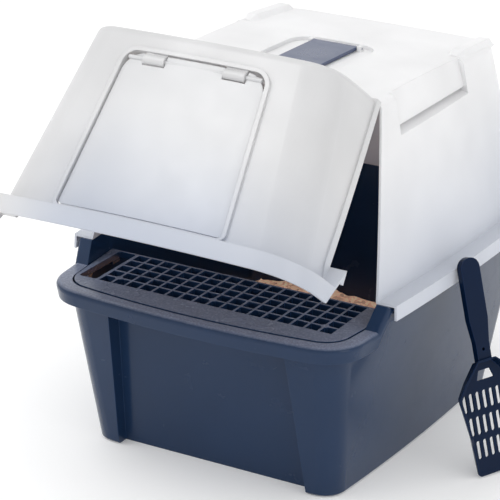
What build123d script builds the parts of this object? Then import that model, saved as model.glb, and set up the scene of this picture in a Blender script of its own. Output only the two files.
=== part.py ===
"""Hooded cat litter box: tall pan, lift-out grate, split hood with a swinging entry door, latch and scoop.

Millimetres. The origin is the middle of the pan's flat bottom: +X to the right, the entry faces -Y, +Z up.
The front hood is modelled shut and then turned up about its hinge by HOOD_OPEN before it is written.
"""

from build123d import *
import math
import os

# ---- Driving dimensions: pan ----
WALL = 3.0                 # moulded wall of the pan
FLOOR = 3.0                # pan floor
RIM_FRONT = 198.0          # height of the low rim round the entry
RIM_STEP = 24.0            # the rim under the rear hood stands this much higher
RIM_REAR = RIM_FRONT + RIM_STEP
STEP_Y = -164.0            # foot of the sloped post between the two rims
STEP_RUN = 16.0            # how far back the post leans
RIM_WIDTH = 14.0           # overhang of the rolled rim
RIM_DEPTH = 18.0           # skirt of the rolled rim
RIM_SKIN = 2.6             # wall of the rolled rim
RIM_ROUND = 5.0            # rounding of the rim's outer edge
FOOT_BEVEL = 2.5           # bevel round the bottom edge
FOOT_HALF = (153.0, 162.0, 158.0)    # half widths at the floor: front corner, widest, rear corner
TOP_HALF = (174.0, 192.0, 187.0)     # the same at the tall rim
FOOT_Y = (-184.0, 200.0)             # front and rear of the foot
TOP_Y = (-224.0, 238.0)              # front and rear at the tall rim
FOOT_BULGE = (6.0, 4.0)              # how far the front and rear swell past their corners
TOP_BULGE = (15.0, 6.0)
FOOT_CORNER = 26.0
TOP_CORNER = 36.0
RECESS_HALF = (120.0, 110.0)         # half widths of the sunk front panel at the floor and at its top
RECESS_DEPTH = 13.0
RECESS_TOP = RIM_FRONT - RIM_DEPTH - 6.0

# ---- Driving dimensions: hood ----
HOOD_WALL = 2.6
HOOD_LOW_HALF = (177.0, 196.0, 192.0)    # half widths where the hood meets the low rim
HOOD_TOP_HALF = (145.0, 147.0, 141.0)    # half widths at the reference height of the roof
HOOD_LOW_Y = (-220.0, 240.0)
HOOD_TOP_Y = (-212.0, 218.0)
HOOD_LOW_BULGE = (15.0, 6.0)
HOOD_TOP_BULGE = (10.0, 4.0)
HOOD_LOW_CORNER = 46.0
HOOD_TOP_CORNER = 40.0
HOOD_RISE = 226.0          # crown of the roof above the low rim
ROOF_REF = RIM_FRONT + HOOD_RISE
ROOF_FRONT = ROOF_REF - 12.0         # roof height at the front edge
ROOF_REAR = ROOF_REF - 13.0          # roof height at the rear edge
CROWN_Y = -70.0            # the roof is highest here
ROOF_ROUND = 9.0           # rounding of the roof's edge
LEDGE_THICK = 2.6
SKIRT = 17.0               # skirt that hangs from the ledge
SKIRT_GAP = 1.2            # play between the rolled rim and the skirt
SKIRT_FLARE = 9.0          # the skirt spreads by this much over FLARE_OVER on its way down
FLARE_OVER = 54.0
SKIRT_SHIFT = -8.0         # the skirt steps up this far ahead of the post
SEAT_GAP = 0.4             # play between the rim and the hood ledge
SPLIT_TOP_Y = -88.0        # the split between the hoods at the roof
SPLIT_LOW_Y = -148.0       # the split where it meets the tall rim
SPLIT_GAP = 1.6
HOOD_OPEN = 38.0           # how far the front hood stands open
BAND_WIDTH = 11.0          # stiff band along the front hood's rear edge
BAND_RISE = 2.0

# ---- Driving dimensions: hood hinge ----
HINGE_RISE = 5.7           # hinge axis above the roof
HINGE_PIN_D = 4.0
HINGE_FIT = 0.25           # running fit of the pins, on the radius
KNUCKLE_R = 5.0
KNUCKLE_WIDTH = 12.0
KNUCKLE_GAP = 0.6
HINGE_X = 92.0             # middle of each hinge

# ---- Driving dimensions: entry and door ----
ENTRY_TOP = ROOF_REF - 36.0
ENTRY_SILL = RIM_FRONT + 9.0
ENTRY_HALF_TOP = 84.0
ENTRY_HALF_LOW = 99.0
ENTRY_CORNER = 16.0
FRAME_WIDTH = 4.5
FRAME_RISE = 3.0
DOOR_GAP = 1.4             # play round the door
DOOR_CORNER_PLAY = 10.0    # the door's top corners are rounder than the entry's by this much
DOOR_THICK = 2.2
DOOR_AXIS_DROP = 7.6       # hinge rod below the top of the entry
DOOR_ROD_D = 4.6
DOOR_FIT = 0.25
BEARING_X = 48.0           # middle of each bearing of the door
BEARING_WIDTH = 25.0
BEARING_R = 5.6

# ---- Driving dimensions: roof grips, ridges and latch ----
GRIP_HALF_TOP = 138.0      # half width of the roof along the grips
GRIP_Y = (-56.0, 112.0)    # front and rear of each grip
GRIP_DEPTH = 36.0          # height of the grip's face
GRIP_UNDERCUT = 9.0        # how far the finger hollow goes in
GRIP_HOLLOW = 6.0          # height of the finger hollow
RIDGE_WIDTH = 24.0
RIDGE_RISE = 6.0
LATCH_POCKET = (104.0, 172.0, 4.5)       # width, length, depth of the shallow pocket
LATCH_PLATE = (56.0, 150.0, 4.0)
LATCH_Y = 88.0             # rear edge of the plate
LATCH_PIN_D = 2.4
LATCH_LIFT = 1.4           # the plate lies this far above the pocket's floor

# ---- Driving dimensions: grate ----
GRATE_TOP = RIM_FRONT + 0.6
GRATE_DEPTH = 7.0
PITCH = 17.2
BAR = 2.8
COLUMNS = 18
ROWS = 5
FIRST_BAR_X = -141.2
GRATE_LIFT = 12.0          # the grate lifts straight up by this much with both hoods in place
GRATE_REAR_Y = -109.0
GRATE_CLEAR = 0.9
SLOT_WIDTH = 22.0          # finger slot at the left
LIP_THICK = 1.6
BOSS_D = 9.0
SHELF = 6.0                # reach of the ledge inside the pan that the grate's front rests on
REST_X = 178.0
REST = (14.0, 12.0, 4.0)   # lugs in the pan that carry the grate's rear: length, reach, height

# ---- Driving dimensions: scoop ----
SCOOP_LENGTH = 243.0
SCOOP_WALL = 2.4
SCOOP_TIP = (277.0, -27.0)     # where the middle of the blade's edge stands on the floor
SCOOP_FACING = 62.0            # compass direction of the scoop's face, from the front
SCOOP_LEAN = 15.3
SCOOP_TILT = 3.0
BLADE_HALF = (31.0, 40.0, 47.0, 36.0)
BLADE_U = (0.0, 48.0, 92.0, 108.0)
NECK_U = 148.0
NECK_HALF = 9.0
HANDLE_HALF = 12.5
SCOOP_SIDE = 14.0
DISH_TAPER = 8.0           # the dish narrows by this much towards its floor, on each side
HANDLE_THICK = 8.0
SLOT_PITCH = 9.2
SLOT_LONG = 21.0
SLOT_WIDE = 5.0
HANG_HOLE_R = 2.0
FLOOR_PLAY = 0.2

# ---- Driving dimensions: litter ----
LITTER_LOW = 48.0          # depth of the litter near the entry and at the rear
LITTER_HIGH = 60.0
LITTER_GAP = 1.0


def between(a, b, share):
    return a + (b - a) * share


def bowed(z, half, ends, bulge, corner, grow):
    """A rounded rectangle with bowed sides, at height z, spread outwards by grow."""
    front = ends[0] - grow
    rear = ends[1] + grow
    half_front, half_mid, half_rear = (h + grow for h in half)
    mid_y = between(front, rear, 0.56)
    with BuildSketch(Plane.XY.offset(z)) as outline:
        with BuildLine():
            ThreePointArc((-half_front, front), (0, front - bulge[0]), (half_front, front))
            ThreePointArc((half_front, front), (half_mid, mid_y), (half_rear, rear))
            ThreePointArc((half_rear, rear), (0, rear + bulge[1]), (-half_rear, rear))
            ThreePointArc((-half_rear, rear), (-half_mid, mid_y), (-half_front, front))
        make_face()
        fillet(outline.vertices(), radius=max(corner + grow, 4.0))
    return outline.sketch.face()


def pair(low, high, share):
    return tuple(between(a, b, share) for a, b in zip(low, high))


def pan_outline(z, grow=0.0):
    share = z / RIM_REAR
    return bowed(z, pair(FOOT_HALF, TOP_HALF, share), pair(FOOT_Y, TOP_Y, share),
                 pair(FOOT_BULGE, TOP_BULGE, share), between(FOOT_CORNER, TOP_CORNER, share), grow)


def hood_outline(z, grow=0.0, at=None):
    """The hood's outline at height z, drawn at height at instead where that is given."""
    share = (z - RIM_FRONT) / (ROOF_REF - RIM_FRONT)
    return bowed(z if at is None else at, pair(HOOD_LOW_HALF, HOOD_TOP_HALF, share),
                 pair(HOOD_LOW_Y, HOOD_TOP_Y, share), pair(HOOD_LOW_BULGE, HOOD_TOP_BULGE, share),
                 between(HOOD_LOW_CORNER, HOOD_TOP_CORNER, share), grow)


def side_face(points):
    """A closed outline in the YZ plane."""
    with BuildSketch(Plane.YZ) as profile:
        with BuildLine():
            Polyline(*points, close=True)
        make_face()
    return profile.sketch.face()


def stepped(front_low, front_high, rear_low, rear_high, shift=0.0, low_shift=0.0, far=400.0):
    """The side view of a band that follows the two rim levels and the post between them."""
    foot = STEP_Y + shift
    head = foot + STEP_RUN
    return side_face([(-far, front_low), (-far, front_high), (foot, front_high), (head, rear_high),
                      (far, rear_high), (far, rear_low), (head + low_shift, rear_low),
                      (foot + low_shift, front_low)])


FAR = 300.0
HOOD_SEAT_FRONT = RIM_FRONT + SEAT_GAP
HOOD_SEAT_REAR = RIM_REAR + SEAT_GAP
SPLIT_SLOPE = (SPLIT_TOP_Y - SPLIT_LOW_Y) / (ROOF_REF - HOOD_SEAT_REAR)


def roof_face(drop=0.0, low=RIM_FRONT - 60.0):
    """Everything under the crowned roof, seen from the side; drop lowers the roof."""
    front = HOOD_TOP_Y[0] - HOOD_TOP_BULGE[0]
    rear = HOOD_TOP_Y[1] + HOOD_TOP_BULGE[1]
    reach = 60.0
    fall_front = (ROOF_REF - ROOF_FRONT) / (CROWN_Y - front) ** 2
    fall_rear = (ROOF_REF - ROOF_REAR) / (rear - CROWN_Y) ** 2
    ahead = (front - reach, ROOF_REF - drop - fall_front * (CROWN_Y - front + reach) ** 2)
    behind = (rear + reach, ROOF_REF - drop - fall_rear * (rear + reach - CROWN_Y) ** 2)
    with BuildSketch(Plane.YZ) as profile:
        with BuildLine():
            TangentArc((CROWN_Y, ROOF_REF - drop), ahead, tangent=(-1, 0))
            TangentArc((CROWN_Y, ROOF_REF - drop), behind, tangent=(1, 0))
            Polyline(ahead, (ahead[0], low), (behind[0], low), behind)
        make_face()
    return profile.sketch.face()


def roof_z(y, drop=0.0):
    """Height of the roof's arc at y."""
    if y < CROWN_Y:
        front = HOOD_TOP_Y[0] - HOOD_TOP_BULGE[0]
        return ROOF_REF - drop - (ROOF_REF - ROOF_FRONT) * ((CROWN_Y - y) / (CROWN_Y - front)) ** 2
    rear = HOOD_TOP_Y[1] + HOOD_TOP_BULGE[1]
    return ROOF_REF - drop - (ROOF_REF - ROOF_REAR) * ((y - CROWN_Y) / (rear - CROWN_Y)) ** 2


def ahead_of_split(gap=0.0):
    """The side view of everything in front of the split line, kept back by gap."""
    z_low = RIM_FRONT - 60.0
    z_high = ROOF_REF + 40.0
    y_low = SPLIT_LOW_Y - gap
    y_bend = HOOD_SEAT_REAR + LEDGE_THICK
    y_high = SPLIT_LOW_Y + SPLIT_SLOPE * (z_high - y_bend) - gap
    return side_face([(-400, z_low), (y_low, z_low), (y_low, y_bend), (y_high, z_high), (-400, z_high)])


def behind_split(gap=0.0):
    z_low = RIM_FRONT - 60.0
    z_high = ROOF_REF + 40.0
    y_low = SPLIT_LOW_Y + gap
    y_bend = HOOD_SEAT_REAR + LEDGE_THICK
    y_high = SPLIT_LOW_Y + SPLIT_SLOPE * (z_high - y_bend) + gap
    return side_face([(400, z_low), (y_low, z_low), (y_low, y_bend), (y_high, z_high), (400, z_high)])


# ---- Base pan ----
def pan_recess(grow=0.0):
    """The sunk panel between the front pillars, as the solid that is missing there."""
    def face_y(z):
        share = z / RIM_REAR
        return between(FOOT_Y[0], TOP_Y[0], share) + RECESS_DEPTH + grow
    top = RECESS_TOP + grow
    with BuildPart() as block:
        with BuildSketch(Plane.YZ):
            with BuildLine():
                Polyline((-300, -20), (face_y(-20), -20), (face_y(top), top), (-300, top),
                         close=True)
            make_face()
        extrude(amount=RECESS_HALF[0] + 30 + grow, both=True)
        across = block.edges().filter_by(Axis.X).group_by(Axis.Y)[-1].sort_by(Axis.Z)[-1]
        fillet(across, radius=8.0 + grow)
        with BuildSketch(Plane.XZ.offset(100)):
            with BuildLine():
                low_half = between(RECESS_HALF[0], RECESS_HALF[1], -30 / RECESS_TOP) + grow
                high_half = between(RECESS_HALF[0], RECESS_HALF[1], 230 / RECESS_TOP) + grow
                Polyline((-low_half, -30), (-high_half, 230), (high_half, 230), (low_half, -30),
                         close=True)
            make_face()
        extrude(amount=300, mode=Mode.INTERSECT)
    return block.part


with BuildPart() as rim_hollow:
    low = RIM_FRONT - RIM_DEPTH
    reach = RIM_WIDTH - RIM_SKIN
    loft([pan_outline(low - 8, reach), pan_outline(RIM_REAR + 4, reach)], ruled=True)
    extrude(stepped(low - 10, RIM_FRONT - RIM_SKIN, low - 10, RIM_REAR - RIM_SKIN, shift=RIM_SKIN),
            amount=FAR, both=True, mode=Mode.INTERSECT)

with BuildPart() as pan_wall:
    loft([pan_outline(0, -FOOT_BEVEL), pan_outline(FOOT_BEVEL), pan_outline(RIM_REAR + 4)], ruled=True)
    add(pan_recess(), mode=Mode.SUBTRACT)
    extrude(stepped(0, RIM_FRONT, 0, RIM_REAR), amount=FAR, both=True, mode=Mode.INTERSECT)

with BuildPart() as pan_cavity:
    loft([pan_outline(FLOOR, -WALL), pan_outline(RIM_REAR + 20, -WALL)], ruled=True)
    add(pan_recess(WALL), mode=Mode.SUBTRACT)

with BuildPart() as pan_shelf:
    low = GRATE_TOP - GRATE_DEPTH - 0.3
    loft([pan_outline(low - 14, -WALL + 0.5), pan_outline(low, -WALL + 0.5)], ruled=True)
    loft([pan_outline(low - 14, -WALL - 0.5), pan_outline(low, -WALL - SHELF)], ruled=True,
         mode=Mode.SUBTRACT)
    extrude(side_face([(-400, 0), (-400, 400), (STEP_Y, 400), (STEP_Y, 0)]), amount=FAR, both=True,
            mode=Mode.INTERSECT)

with BuildPart() as pan_rests:
    rest_y = GRATE_REAR_Y - REST[0] / 2 - 2
    rest_z = GRATE_TOP - GRATE_DEPTH - REST[2] / 2 - 0.3
    with Locations((REST_X, rest_y, rest_z), (-REST_X, rest_y, rest_z)):
        Box(2 * REST[1], REST[0], REST[2])
    add(pan_wall.part, mode=Mode.INTERSECT)


def on_rim_top(edge):
    """True for the rim's outer top edge, at both levels and on the ramp between them."""
    middle = edge.center()
    share = min(max((middle.Y - STEP_Y) / STEP_RUN, 0.0), 1.0)
    level = between(RIM_FRONT, RIM_REAR, share)
    crosses = abs(middle.X) < 1 and min(abs(middle.Y - STEP_Y), abs(middle.Y - STEP_Y - STEP_RUN)) < 1
    return abs(middle.Z - level) < 0.5 and not crosses


with BuildPart() as base_pan:
    loft([pan_outline(RIM_FRONT - RIM_DEPTH, RIM_WIDTH), pan_outline(RIM_REAR + 4, RIM_WIDTH)],
         ruled=True)
    extrude(stepped(RIM_FRONT - RIM_DEPTH, RIM_FRONT, RIM_REAR - RIM_DEPTH, RIM_REAR),
            amount=FAR, both=True, mode=Mode.INTERSECT)
    fillet(base_pan.edges().filter_by(on_rim_top), radius=RIM_ROUND)
    add(rim_hollow.part, mode=Mode.SUBTRACT)
    add(pan_wall.part)
    add(pan_cavity.part, mode=Mode.SUBTRACT)
    add(pan_rests.part)
    add(pan_shelf.part)
base_pan.part.label = "base_pan"


# ---- Hood forms shared by both halves ----
def grip_cut(grow=0.0):
    """What is missing from the right-hand side of the hood at the grip, seen from the front."""
    top = ROOF_REF
    lip_z = top - GRIP_DEPTH
    lip_x = GRIP_HALF_TOP + 11.5
    with BuildPart() as cut:
        with BuildSketch(Plane.XZ.offset(-GRIP_Y[1] - grow)):
            with BuildLine():
                Polyline((GRIP_HALF_TOP - 4, top + 14), (lip_x, lip_z),
                         (lip_x - GRIP_UNDERCUT, lip_z - 1.5), (lip_x - GRIP_UNDERCUT + 1, lip_z - 4),
                         (lip_x + 12, lip_z - GRIP_HOLLOW - 3),
                         (lip_x + 60, lip_z - GRIP_HOLLOW - 3), (lip_x + 60, top + 14), close=True)
            make_face()
            if grow:
                offset(amount=grow, kind=Kind.INTERSECTION)
        extrude(amount=GRIP_Y[1] - GRIP_Y[0] + 2 * grow)
    return cut.part


def latch_pocket(grow=0.0):
    """The shallow pocket in the roof that the latch plate lies in."""
    width, length, depth = LATCH_POCKET
    middle = LATCH_Y + 10 - length / 2
    with BuildPart() as pocket:
        with BuildSketch(Plane.XY.offset(ROOF_REF - 60)):
            with Locations((0, middle)):
                RectangleRounded(width + 2 * grow, length + 2 * grow, 26 + grow)
        extrude(amount=120)
        extrude(roof_face(depth + grow), amount=FAR, both=True, mode=Mode.SUBTRACT)
    return pocket.part


def ridge_section(y, rise, narrow=0.0):
    half = between(HOOD_TOP_HALF[1], HOOD_TOP_HALF[2], (y - 20.0) / (HOOD_TOP_Y[1] - 20.0))
    top = roof_z(y)
    with BuildSketch(Plane.XZ.offset(-y)) as section:
        with BuildLine():
            Polyline((half - RIDGE_WIDTH + narrow, top - 3), (half - RIDGE_WIDTH + 7 + narrow, top + rise),
                     (half - 4 - narrow, top + rise), (half + 0.5 - narrow, top - 3), close=True)
        make_face()
    return section.sketch.face()


def on_roof_edge(edge):
    """True for the edges round the roof, not for the line across its crown."""
    middle = edge.center()
    across_crown = abs(middle.Y - CROWN_Y) < 1.0 and abs(middle.X) < 60.0
    return middle.Z > ROOF_REF - 20 - HOOD_WALL and not across_crown


with BuildPart() as hood_block:
    loft([hood_outline(RIM_FRONT - 20), hood_outline(ROOF_REF + 12)], ruled=True)
    extrude(roof_face(), amount=FAR, both=True, mode=Mode.INTERSECT)
    fillet(hood_block.edges().filter_by(on_roof_edge), radius=ROOF_ROUND)
    add(grip_cut(), mode=Mode.SUBTRACT)
    add(mirror(grip_cut(), about=Plane.YZ, mode=Mode.PRIVATE), mode=Mode.SUBTRACT)
    add(latch_pocket(), mode=Mode.SUBTRACT)

with BuildPart() as hood_cavity:
    loft([hood_outline(RIM_FRONT - 60, -HOOD_WALL), hood_outline(ROOF_REF + 12, -HOOD_WALL)], ruled=True)
    extrude(roof_face(HOOD_WALL, RIM_FRONT - 60), amount=FAR, both=True, mode=Mode.INTERSECT)
    fillet(hood_cavity.edges().filter_by(on_roof_edge), radius=ROOF_ROUND - HOOD_WALL)
    add(grip_cut(HOOD_WALL), mode=Mode.SUBTRACT)
    add(mirror(grip_cut(HOOD_WALL), about=Plane.YZ, mode=Mode.PRIVATE), mode=Mode.SUBTRACT)
    add(latch_pocket(HOOD_WALL), mode=Mode.SUBTRACT)

SKIRT_LOW_Z = RIM_FRONT - 22.0
SKIRT_TOP_Z = SKIRT_LOW_Z + FLARE_OVER
with BuildPart() as flange_hollow:
    inside = RIM_WIDTH + SKIRT_GAP
    loft([pan_outline(SKIRT_LOW_Z, inside + SKIRT_FLARE), pan_outline(SKIRT_TOP_Z, inside)], ruled=True)
    extrude(stepped(SKIRT_LOW_Z - 5, HOOD_SEAT_FRONT, SKIRT_LOW_Z - 5, HOOD_SEAT_REAR),
            amount=FAR, both=True, mode=Mode.INTERSECT)

with BuildPart() as flange:
    outside = RIM_WIDTH + SKIRT_GAP + LEDGE_THICK
    loft([pan_outline(SKIRT_LOW_Z, outside + SKIRT_FLARE), pan_outline(SKIRT_TOP_Z, outside)], ruled=True)
    extrude(stepped(RIM_FRONT - SKIRT, HOOD_SEAT_FRONT + LEDGE_THICK, RIM_REAR - SKIRT + 3,
                    HOOD_SEAT_REAR + LEDGE_THICK, low_shift=SKIRT_SHIFT),
            amount=FAR, both=True, mode=Mode.INTERSECT)
    add(flange_hollow.part, mode=Mode.SUBTRACT)

HINGE_Y = SPLIT_TOP_Y
HINGE_Z = roof_z(SPLIT_TOP_Y) + HINGE_RISE
HINGE_AXIS = Axis((0, HINGE_Y, HINGE_Z), (1, 0, 0))


def knuckle(centre_x, width, side, play):
    """A hinge eye standing on the roof; side is +1 behind the split and -1 ahead of it."""
    with BuildPart() as eye:
        with BuildSketch(Plane.YZ.offset(centre_x - width / 2)):
            with Locations((HINGE_Y, HINGE_Z)):
                Circle(KNUCKLE_R)
            with BuildLine():
                start = HINGE_Y + side * SPLIT_GAP / 2
                foot = HINGE_Y + side * 15.0
                Polyline((start, HINGE_Z), (start, HINGE_Z - HINGE_RISE - 1.5),
                         (foot, roof_z(foot) - 1.5), (foot, roof_z(foot) + 1.0),
                         (HINGE_Y + side * KNUCKLE_R * 0.8, HINGE_Z + KNUCKLE_R * 0.6), close=True)
            make_face()
        extrude(amount=width)
        with Locations(Location((centre_x, HINGE_Y, HINGE_Z), (0, 90, 0))):
            Hole(HINGE_PIN_D / 2 + play)
    return eye.part


# ---- Rear hood ----
LATCH_END = LATCH_PLATE[2] / 2
LATCH_EAR = (5.0, 8.0, LATCH_PLATE[2] + LATCH_LIFT + 1.6)
LATCH_EAR_X = LATCH_PLATE[0] / 2 + 0.6 + LATCH_EAR[0] / 2
LATCH_FALL = roof_z(LATCH_Y) - roof_z(LATCH_Y - LATCH_PLATE[1])
LATCH_SLOPE = math.atan2(LATCH_FALL, LATCH_PLATE[1])
LATCH_BASE = Plane(origin=(0, LATCH_Y, roof_z(LATCH_Y) - LATCH_POCKET[2] + LATCH_LIFT), x_dir=(1, 0, 0),
                   z_dir=(0, -math.sin(LATCH_SLOPE), math.cos(LATCH_SLOPE)))
LATCH_AXLE = Location((0, -LATCH_END, LATCH_PLATE[2] / 2), (0, 90, 0))

with BuildPart() as rear_hood:
    add(hood_block.part)
    extrude(stepped(HOOD_SEAT_FRONT, 600, HOOD_SEAT_REAR, 600), amount=FAR, both=True, mode=Mode.INTERSECT)
    add(flange.part)
    for side in (1, -1):
        ridge = loft([ridge_section(GRIP_Y[1] + 4, 1.0, 3.0), ridge_section(GRIP_Y[1] + 16, RIDGE_RISE),
                      ridge_section(HOOD_TOP_Y[1] - 16, RIDGE_RISE),
                      ridge_section(HOOD_TOP_Y[1] - 6, 0.5, 2.0)],
                     ruled=True, mode=Mode.PRIVATE)
        add(ridge if side > 0 else mirror(ridge, about=Plane.YZ, mode=Mode.PRIVATE))
    add(hood_cavity.part, mode=Mode.SUBTRACT)
    extrude(behind_split(SPLIT_GAP / 2), amount=FAR, both=True, mode=Mode.INTERSECT)
    for side in (1, -1):
        for place in (-1, 1):
            spot = side * HINGE_X + place * (KNUCKLE_WIDTH + KNUCKLE_GAP)
            add(knuckle(spot, KNUCKLE_WIDTH, 1, 0.0))
    with Locations(LATCH_BASE):
        with Locations((LATCH_EAR_X, -LATCH_END, LATCH_EAR[2] / 2 - LATCH_LIFT - 1.0),
                       (-LATCH_EAR_X, -LATCH_END, LATCH_EAR[2] / 2 - LATCH_LIFT - 1.0)):
            Box(*LATCH_EAR)
    with Locations(LATCH_BASE * LATCH_AXLE):
        Cylinder(LATCH_PIN_D / 2, 2 * LATCH_EAR_X + 2 * LATCH_EAR[0], mode=Mode.SUBTRACT)
rear_hood.part.label = "rear_hood"


# ---- Front hood, modelled shut ----
def entry_prism(grow=0.0, low=None, corner=ENTRY_CORNER):
    """The arched entry as a block that runs through the front wall; grow spreads its outline."""
    sill = ENTRY_SILL - grow if low is None else low
    with BuildPart() as prism:
        with BuildSketch(Plane.XZ.offset(150)) as outline:
            with BuildLine():
                Polyline((-ENTRY_HALF_LOW - grow, sill), (-ENTRY_HALF_TOP - grow, ENTRY_TOP + grow),
                         (ENTRY_HALF_TOP + grow, ENTRY_TOP + grow), (ENTRY_HALF_LOW + grow, sill),
                         close=True)
            make_face()
            fillet(outline.vertices().group_by(Axis.Y)[-1], radius=corner + grow)
            fillet(outline.vertices().group_by(Axis.Y)[0], radius=5.0 + grow / 2)
        extrude(amount=150)
    return prism.part


def front_wall_y(x, z):
    """The outside of the front wall at x and z."""
    share = (z - RIM_FRONT) / (ROOF_REF - RIM_FRONT)
    half = between(HOOD_LOW_HALF[0], HOOD_TOP_HALF[0], share)
    bulge = between(HOOD_LOW_BULGE[0], HOOD_TOP_BULGE[0], share)
    return between(HOOD_LOW_Y[0], HOOD_TOP_Y[0], share) - bulge * (1 - (x / half) ** 2)


DOOR_Z = ENTRY_TOP - DOOR_AXIS_DROP
DOOR_Y = front_wall_y(BEARING_X, DOOR_Z) + HOOD_WALL / 2

with BuildPart() as entry_frame:
    loft([hood_outline(RIM_FRONT - 20, FRAME_RISE), hood_outline(ROOF_REF + 12, FRAME_RISE)], ruled=True)
    add(entry_prism(FRAME_WIDTH, ENTRY_SILL - 2), mode=Mode.INTERSECT)

with BuildPart() as rear_band:
    loft([hood_outline(RIM_FRONT - 20, BAND_RISE), hood_outline(ROOF_REF + 12, BAND_RISE)], ruled=True)
    extrude(roof_face(), amount=FAR, both=True, mode=Mode.INTERSECT)
    extrude(ahead_of_split(SPLIT_GAP / 2), amount=FAR, both=True, mode=Mode.INTERSECT)
    extrude(ahead_of_split(SPLIT_GAP / 2 + BAND_WIDTH), amount=FAR, both=True, mode=Mode.SUBTRACT)

with BuildPart() as front_hood:
    add(hood_block.part)
    add(entry_frame.part)
    add(rear_band.part)
    extrude(stepped(HOOD_SEAT_FRONT, 600, HOOD_SEAT_REAR, 600), amount=FAR, both=True, mode=Mode.INTERSECT)
    add(flange.part)
    add(hood_cavity.part, mode=Mode.SUBTRACT)
    extrude(ahead_of_split(SPLIT_GAP / 2), amount=FAR, both=True, mode=Mode.INTERSECT)
    add(entry_prism(), mode=Mode.SUBTRACT)
    for side in (1, -1):
        add(knuckle(side * HINGE_X, KNUCKLE_WIDTH, -1, HINGE_FIT))
        with BuildSketch(Plane.YZ.offset(side * BEARING_X - BEARING_WIDTH / 2)):
            with Locations((DOOR_Y, DOOR_Z)):
                Circle(BEARING_R)
            with Locations((DOOR_Y, DOOR_Z + DOOR_AXIS_DROP / 2 + 2)):
                Rectangle(HOOD_WALL, DOOR_AXIS_DROP + 4)
        extrude(amount=BEARING_WIDTH)
    with Locations(Location((0, DOOR_Y, DOOR_Z), (0, 90, 0))):
        Cylinder(DOOR_ROD_D / 2 + DOOR_FIT, 2 * (BEARING_X + BEARING_WIDTH), mode=Mode.SUBTRACT)


# ---- Entry door, modelled flush in the shut front hood ----
with BuildPart() as door_shell:
    loft([hood_outline(RIM_FRONT - 20, -0.2), hood_outline(ROOF_REF + 12, -0.2)], ruled=True)
    loft([hood_outline(RIM_FRONT - 20, -0.2 - DOOR_THICK), hood_outline(ROOF_REF + 12, -0.2 - DOOR_THICK)],
         ruled=True, mode=Mode.SUBTRACT)

WINDOW_HALF = BEARING_WIDTH / 2 + 1.0
WINDOW_LOW = BEARING_R + 1.2
ROD_HALF = ENTRY_HALF_TOP - DOOR_GAP - 3.0
with BuildPart() as entry_door:
    add(entry_prism(-DOOR_GAP, corner=ENTRY_CORNER + DOOR_CORNER_PLAY))
    add(door_shell.part, mode=Mode.INTERSECT)
    extrude(side_face([(-400, 0), (-400, 500), (-150, 500), (-150, 0)]), amount=FAR, both=True,
            mode=Mode.INTERSECT)
    for side in (1, -1):
        with Locations((side * BEARING_X, DOOR_Y, DOOR_Z + 10 - WINDOW_LOW / 2)):
            Box(2 * WINDOW_HALF, 40, 20 + WINDOW_LOW, mode=Mode.SUBTRACT)
    with Locations(Location((0, DOOR_Y, DOOR_Z), (0, 90, 0))):
        Cylinder(DOOR_ROD_D / 2, 2 * ROD_HALF)
entry_door.part.label = "entry_door"


# ---- Hinge pins of the hood ----
PIN_LENGTH = 3 * KNUCKLE_WIDTH + 2 * KNUCKLE_GAP + 1.0
with BuildPart() as hood_hinge_pins:
    with Locations(Location((HINGE_X, HINGE_Y, HINGE_Z), (0, 90, 0)),
                   Location((-HINGE_X, HINGE_Y, HINGE_Z), (0, 90, 0))):
        Cylinder(HINGE_PIN_D / 2, PIN_LENGTH)
hood_hinge_pins.part.label = "hood_hinge_pins"


# ---- Latch plate and its pin ----
with BuildPart() as top_latch:
    with BuildSketch(LATCH_BASE) as plate:
        with Locations((0, -LATCH_PLATE[1] / 2 - LATCH_END / 2)):
            RectangleRounded(LATCH_PLATE[0], LATCH_PLATE[1] - LATCH_END, 5.0)
        with Locations((0, -LATCH_END - 6)):
            Rectangle(LATCH_PLATE[0], 12)
    extrude(amount=LATCH_PLATE[2])
    with Locations(LATCH_BASE * LATCH_AXLE):
        Cylinder(LATCH_PLATE[2] / 2, LATCH_PLATE[0])
        Cylinder(LATCH_PIN_D / 2 + HINGE_FIT, LATCH_PLATE[0] + 2, mode=Mode.SUBTRACT)
top_latch.part.label = "top_latch"

with BuildPart() as latch_pin:
    with Locations(LATCH_BASE * LATCH_AXLE):
        Cylinder(LATCH_PIN_D / 2, 2 * LATCH_EAR_X + LATCH_EAR[0])
latch_pin.part.label = "latch_pin"


# ---- Litter grate ----
GRATE_LOW = GRATE_TOP - GRATE_DEPTH
GRATE_FRONT_Y = GRATE_REAR_Y - ROWS * PITCH - BAR / 2
LAST_BAR_X = FIRST_BAR_X + (COLUMNS - 1) * PITCH


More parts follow.
